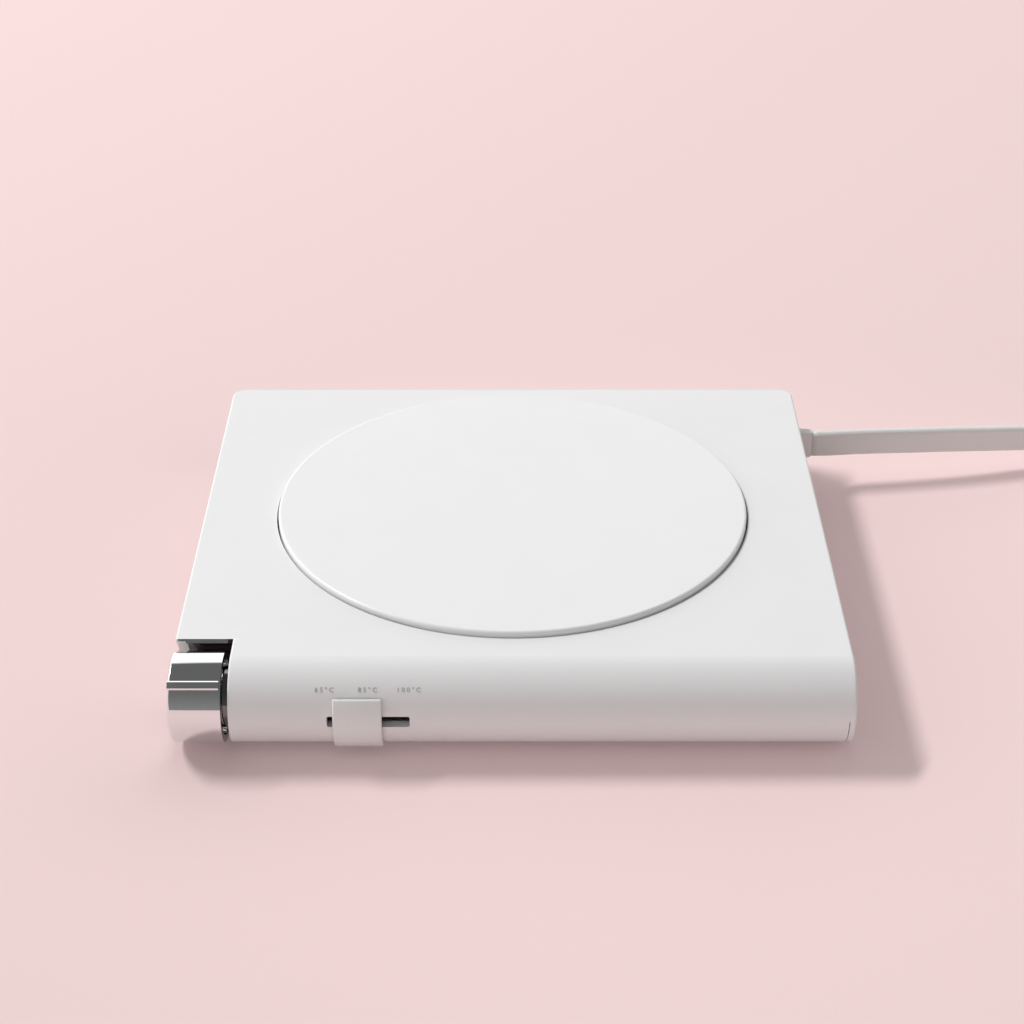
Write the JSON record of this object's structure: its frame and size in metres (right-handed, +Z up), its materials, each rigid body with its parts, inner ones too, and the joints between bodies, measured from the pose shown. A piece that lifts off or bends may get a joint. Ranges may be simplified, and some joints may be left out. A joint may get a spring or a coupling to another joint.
{
  "type": "electric mug warmer",
  "caption": "Flat square mug warmer with a bullnose front, round warming plate, chromed corner power knob, wrap-round temperature slider and flat mains cord.",
  "frame": {"origin": "middle of the body's footprint on the surface that the feet stand on", "axes": "+Z up, -Y towards the bullnose front with the slider, +X to the right, where the cord leaves"},
  "size_m": [0.2796, 0.1241, 0.0226],
  "materials": {
    "white_abs": "fine satin moulded ABS",
    "white_enamel": "smooth heat-proof coating on die-cast aluminium",
    "chrome": "bright chrome plate on moulded ABS",
    "dark_chrome": "smoked bright plate",
    "silicone_grey": "matt silicone",
    "feet_rubber": "matt pale silicone",
    "steel": "zinc plated",
    "brass": "turned",
    "heater_foil": "etched foil on mica",
    "insulation": "ceramic fibre felt",
    "circuit_board": "solder resist on glass epoxy",
    "component_black": "moulded resin",
    "component_blue": "moulded case",
    "component_green": "moulded case",
    "lead_white": "silicone sleeved wire",
    "lead_red": "PVC wire",
    "lead_brown": "PVC wire",
    "cord_white": "extruded PVC jacket",
    "plug_white": "overmoulded PVC",
    "tie_white": "woven hook and loop tape"
  },
  "bodies": {
    "base": {"upper_shell": "white_abs", "base_cover": "white_abs", "warming_plate": "white_enamel", "plate_gasket": "silicone_grey", "heater_element": "heater_foil", "insulation_pad": "insulation", "pressure_plate": "steel", "plate_screws": "steel", "thermistor": "brass", "thermal_fuse": "steel", "fuse_clip": "steel", "plate_leads": "lead_white", "control_board": "circuit_board", "relay": "component_blue", "capacitor": "component_blue", "controller_chip": "component_black", "terminal_block": "component_green", "board_screws": "steel", "slide_switch": "steel", "rotary_switch": "component_black", "switch_nut": "brass", "switch_leads": "lead_red", "knob_cradle": "dark_chrome", "feet": "feet_rubber", "base_screws": "steel", "strain_relief": "cord_white", "cord_clamp": "white_abs", "clamp_screws": "steel", "mains_leads": "lead_brown", "cord": "cord_white", "cord_coil": "cord_white", "cord_tie": "tie_white", "plug_body": "plug_white", "plug_blades": "brass"},
    "knob": {"power_knob": "chrome", "knob_shaft": "steel"},
    "slider": {"slider_tab": "white_abs", "slider_carriage": "component_black", "switch_lever": "component_black"}
  },
  "joints": [
    {"name": "power_turn", "type": "hinge", "parent": "base", "child": "knob", "pos_m": [-0.06, -0.0515, 0.0102], "axis": [1, 0, 0], "range_deg": [0, 90]},
    {"name": "temperature_slide", "type": "slide", "parent": "base", "child": "slider", "axis": [1, 0, 0], "range_m": [-0.0046, 0.0086]}
  ]
}
